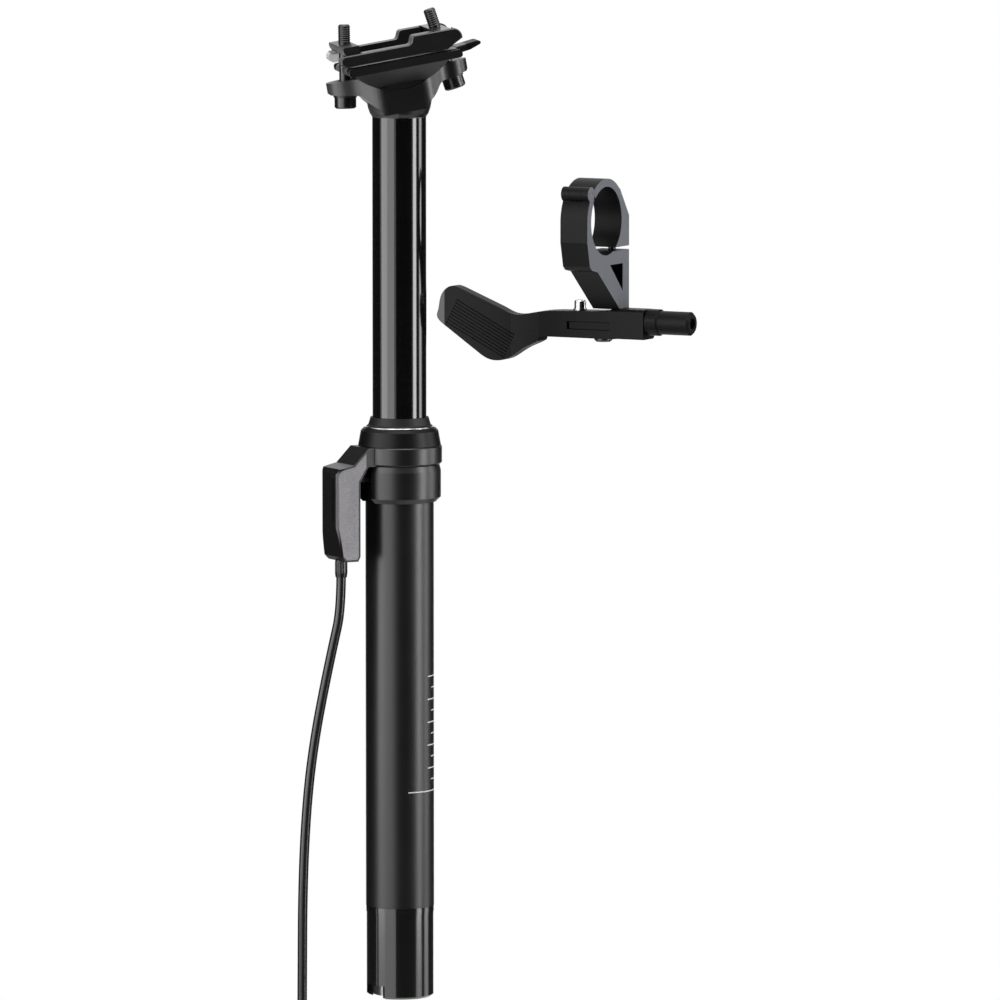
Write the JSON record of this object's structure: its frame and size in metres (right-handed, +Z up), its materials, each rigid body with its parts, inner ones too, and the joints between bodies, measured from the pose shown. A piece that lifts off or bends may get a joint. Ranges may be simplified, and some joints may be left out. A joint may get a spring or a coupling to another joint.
{
  "type": "dropper seatpost",
  "caption": "Dropper seatpost: sliding stanchion in an outer tube, tilting twin-bolt saddle clamp, cable actuator under its collar with casing, and a separate thumb lever with a bar clamp.",
  "frame": {"origin": "on the post's axis, at the minimum insertion line on the outer tube", "axes": "+Z up along the post, +X to the rear of the bicycle, -Y to its left side; the post stands fully extended"},
  "size_m": [0.1962, 0.097, 0.5504],
  "materials": {
    "anodised_black": "glossy black anodised",
    "satin_black": "satin black anodised",
    "gloss_black": "gloss black",
    "bright_alloy": "polished",
    "steel": "bright",
    "black_steel": "black oxide",
    "wiper_rubber": "soft",
    "slide_plastic": "moulded",
    "cover_paint": "light grey, speckled",
    "brass": "turned",
    "casing": "smooth black jacket"
  },
  "bodies": {
    "lower": {"outer_tube": "satin_black", "tube_collar": "satin_black", "top_nut": "satin_black", "wiper_seal": "wiper_rubber", "scraper_ring": "bright_alloy", "upper_bushing": "slide_plastic", "piston_rod": "steel", "rod_piston": "bright_alloy", "rod_nut": "steel", "end_cap": "gloss_black", "base_plug": "bright_alloy", "base_pin": "steel", "actuator_housing": "satin_black", "actuator_cover": "cover_paint", "actuator_insert": "satin_black", "rocker_pin": "steel", "barrel_adjuster": "black_steel", "casing_cord": "casing", "casing_coil": "casing", "coil_tie": "slide_plastic", "casing_ferrule": "bright_alloy", "remote_body": "satin_black", "knuckle_pin": "steel", "jaw_bolt": "black_steel", "lever_pivot": "black_steel", "remote_barrel": "satin_black"},
    "post": {"stanchion_tube": "anodised_black", "lower_bushing": "slide_plastic", "guide_keys": "brass", "stanchion_foot": "bright_alloy", "cartridge_tube": "steel", "cartridge_gland": "bright_alloy", "cartridge_plug": "bright_alloy", "cartridge_carrier": "bright_alloy", "seat_head": "satin_black", "front_bolt": "black_steel", "rear_bolt": "black_steel", "front_washer": "steel", "rear_washer": "steel"},
    "clamp": {"lower_cradle": "satin_black", "left_upper_clamp": "satin_black", "right_upper_clamp": "satin_black"},
    "front_nut": {"front_barrel_nut": "bright_alloy"},
    "rear_nut": {"rear_barrel_nut": "black_steel"},
    "lever": {"remote_lever": "satin_black", "pinch_screw": "bright_alloy"},
    "rocker": {"actuator_rocker": "steel"},
    "cable": {"inner_cable": "steel"},
    "puller": {"pull_rod": "steel"},
    "lifter": {"base_rocker": "steel"},
    "valve": {"valve_pin": "steel"},
    "jaw": {"clamp_jaw": "satin_black"}
  },
  "joints": [
    {"name": "post_slide", "type": "slide", "parent": "lower", "child": "post", "axis": [0, 0, 1], "range_m": [-0.125, 0], "stiffness_N_per_m": 400, "springref_m": 0.5},
    {"name": "clamp_tilt", "type": "hinge", "parent": "post", "child": "clamp", "pos_m": [-0.00499, 0, 0.35374], "axis": [0, -1, 0], "range_deg": [-5, 5]},
    {"name": "front_nut_slide", "type": "slide", "parent": "post", "child": "front_nut", "axis": [-0.0175, 0, 0.9998], "range_m": [-0.002, 0.002]},
    {"name": "rear_nut_slide", "type": "slide", "parent": "post", "child": "rear_nut", "axis": [-0.3256, 0, 0.9455], "range_m": [-0.002, 0.002]},
    {"name": "lever_turn", "type": "hinge", "parent": "lower", "child": "lever", "pos_m": [0.09801, 0.01778, 0.2139], "axis": [0, 0, -1], "range_deg": [0, 12], "stiffness_Nm_per_rad": 0.15, "springref_deg": -22.92},
    {"name": "rocker_turn", "type": "hinge", "parent": "lower", "child": "rocker", "pos_m": [-0.02481, -0.00874, 0.1473], "axis": [0.3322, -0.9432, 0], "range_deg": [0, 13.31]},
    {"name": "cable_slide", "type": "slide", "parent": "lower", "child": "cable", "axis": [0, 0, -1], "range_m": [0, 0.00093]},
    {"name": "pull_slide", "type": "slide", "parent": "lower", "child": "puller", "axis": [0, 0, 1], "range_m": [0, 0.00301]},
    {"name": "lifter_turn", "type": "hinge", "parent": "lower", "child": "lifter", "pos_m": [0.00849, 0.00299, -0.071], "axis": [-0.3322, 0.9432, 0], "range_deg": [0, 7.71]},
    {"name": "valve_slide", "type": "slide", "parent": "lower", "child": "valve", "axis": [0, 0, 1], "range_m": [0, 0.00122]},
    {"name": "jaw_close", "type": "hinge", "parent": "lower", "child": "jaw", "pos_m": [0.08106, -0.01277, 0.27728], "axis": [0.8131, -0.5821, 0], "range_deg": [-1.1, 0]}
  ],
  "couplings": [
    {"joint": "front_nut_slide", "follows": "clamp_tilt", "m_per_rad": -0.021768},
    {"joint": "rear_nut_slide", "follows": "clamp_tilt", "m_per_rad": 0.021768},
    {"joint": "rocker_turn", "follows": "lever_turn", "ratio": 1.1086},
    {"joint": "cable_slide", "follows": "lever_turn", "m_per_rad": 0.0044261},
    {"joint": "pull_slide", "follows": "lever_turn", "m_per_rad": 0.014324},
    {"joint": "lifter_turn", "follows": "lever_turn", "ratio": 0.64138},
    {"joint": "valve_slide", "follows": "lever_turn", "m_per_rad": 0.0057678}
  ]
}
